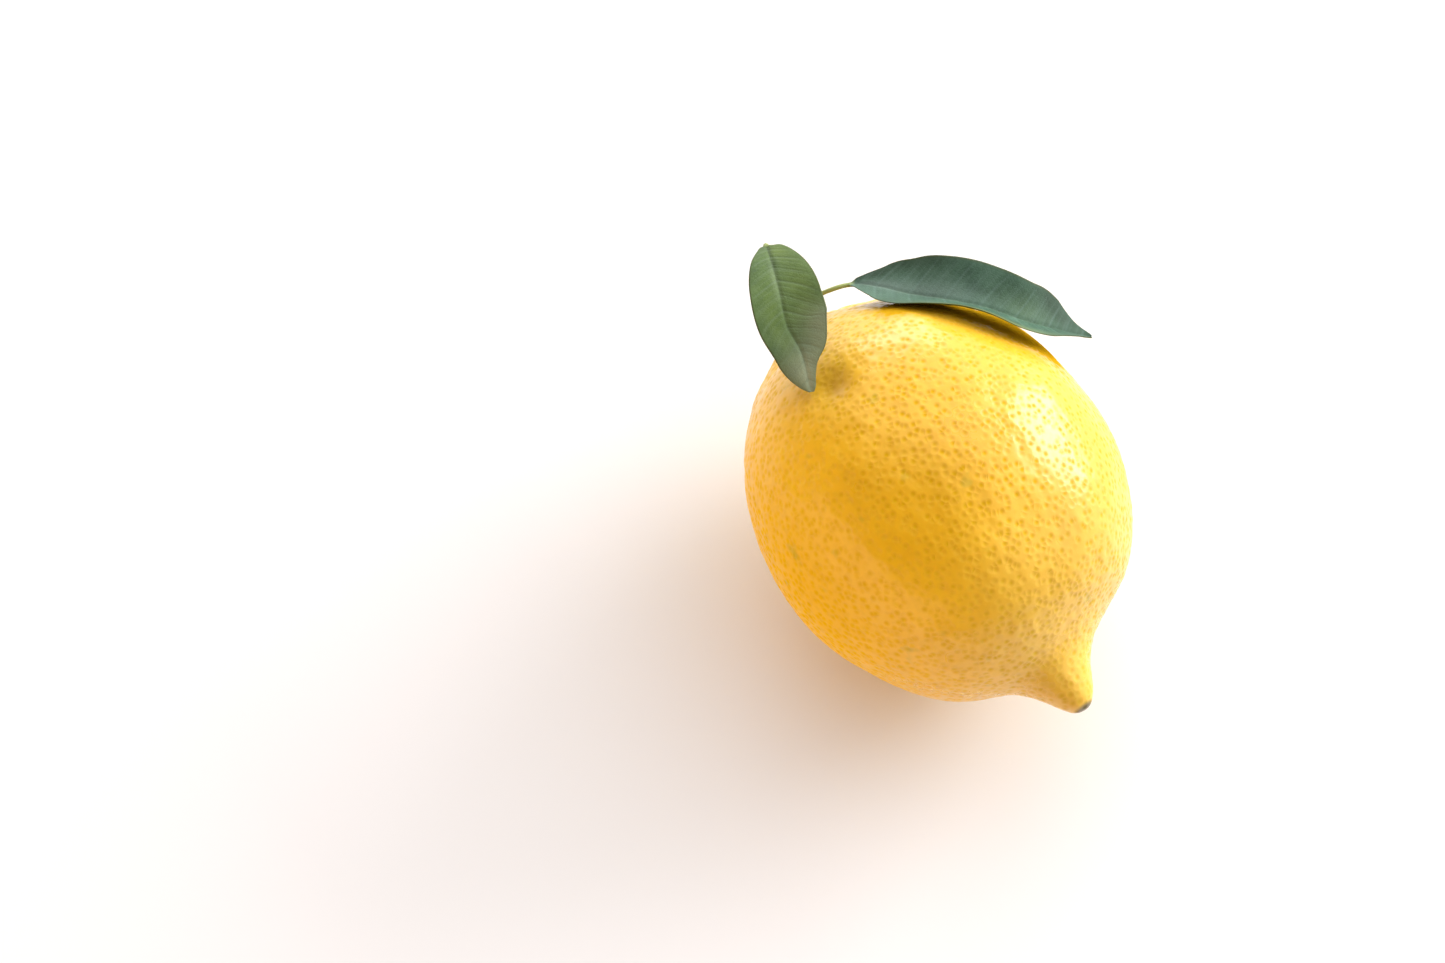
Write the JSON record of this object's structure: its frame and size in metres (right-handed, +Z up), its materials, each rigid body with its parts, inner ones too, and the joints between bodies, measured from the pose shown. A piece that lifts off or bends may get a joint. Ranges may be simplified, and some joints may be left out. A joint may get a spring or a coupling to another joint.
{
  "type": "lemon with leafy twig",
  "caption": "Ripe lemon picked with a short piece of its twig and leaves, lying on its side on its peel.",
  "frame": {"origin": "Middle of the small pressed flat on the underside of the peel, where the fruit rests.", "axes": "+X runs along the fruit from its stem end to its nipple, +Z is up, and +Y is the side that the far leaf hangs over."},
  "size_m": [0.094, 0.0674, 0.0616],
  "materials": {
    "peel": "satin",
    "calyx": "matte",
    "twig": "matte",
    "leaf": "satin"
  },
  "bodies": {
    "root": {"fruit": "peel", "calyx": "calyx", "twig": "twig", "leaf_near": "leaf", "leaf_far": "leaf"}
  },
  "joints": []
}
